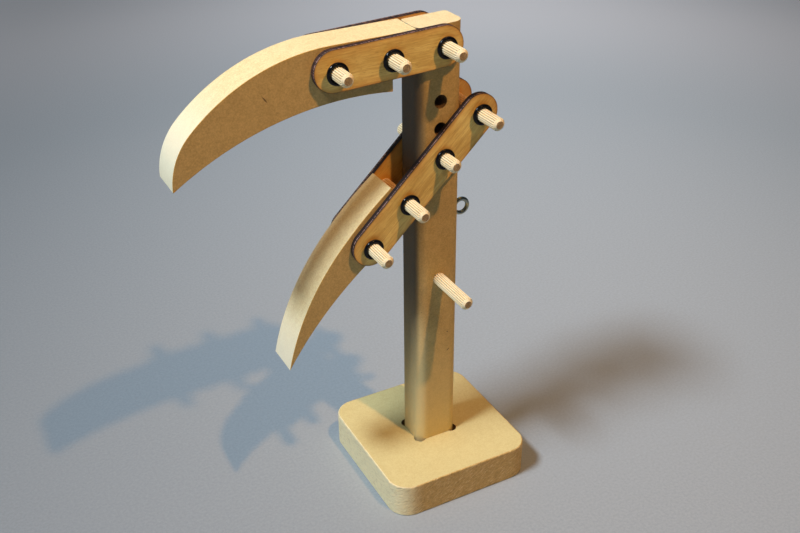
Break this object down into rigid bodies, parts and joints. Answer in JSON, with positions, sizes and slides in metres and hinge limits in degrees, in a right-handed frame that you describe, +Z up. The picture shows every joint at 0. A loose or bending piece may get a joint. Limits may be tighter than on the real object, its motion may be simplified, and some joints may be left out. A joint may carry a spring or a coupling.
{
  "type": "wooden jaw mechanism",
  "caption": "Wooden jaw on a post: a fixed upper claw and a lower claw that swings on a dowel between thin link plates, raised by a lever dowel.",
  "frame": {"origin": "centre of the square base's underside, on the foot of the post", "axes": "+Z up along the post; -X is the way the claws point; Y is along the dowels, with the long end of the peg towards -Y"},
  "size_m": [0.1569, 0.076, 0.2329],
  "materials": {
    "fibreboard": "bare fibreboard, sanded",
    "birch_plywood": "bare plywood, laser cut with burnt edges",
    "dowel_wood": "bare fluted hardwood",
    "black_rubber": "satin black rubber",
    "zinc_steel": "zinc plated wire"
  },
  "bodies": {
    "stand": {"base": "fibreboard", "post": "fibreboard", "upper_claw": "fibreboard", "upper_plate_near": "birch_plywood", "upper_plate_far": "birch_plywood", "screw_eye": "zinc_steel", "post_peg": "dowel_wood", "upper_front_dowel": "dowel_wood", "upper_front_ring_near": "black_rubber", "upper_front_ring_far": "black_rubber", "upper_middle_dowel": "dowel_wood", "upper_middle_ring_near": "black_rubber", "upper_middle_ring_far": "black_rubber", "upper_post_dowel": "dowel_wood", "upper_post_ring_near": "black_rubber", "upper_post_ring_far": "black_rubber"},
    "jaw": {"lower_claw": "fibreboard", "lower_plate_near": "birch_plywood", "lower_plate_far": "birch_plywood", "lower_front_dowel": "dowel_wood", "lower_front_ring_near": "black_rubber", "lower_front_ring_far": "black_rubber", "lower_heel_dowel": "dowel_wood", "lower_heel_ring_near": "black_rubber", "lower_heel_ring_far": "black_rubber", "jaw_pivot_dowel": "dowel_wood", "jaw_pivot_ring_near": "black_rubber", "jaw_pivot_ring_far": "black_rubber", "lever_dowel": "dowel_wood", "lever_ring_near": "black_rubber", "lever_ring_far": "black_rubber"}
  },
  "joints": [
    {"name": "jaw_hinge", "type": "hinge", "parent": "stand", "child": "jaw", "pos_m": [0, 0, 0.174], "axis": [0, 1, 0], "range_deg": [0, 54]}
  ]
}
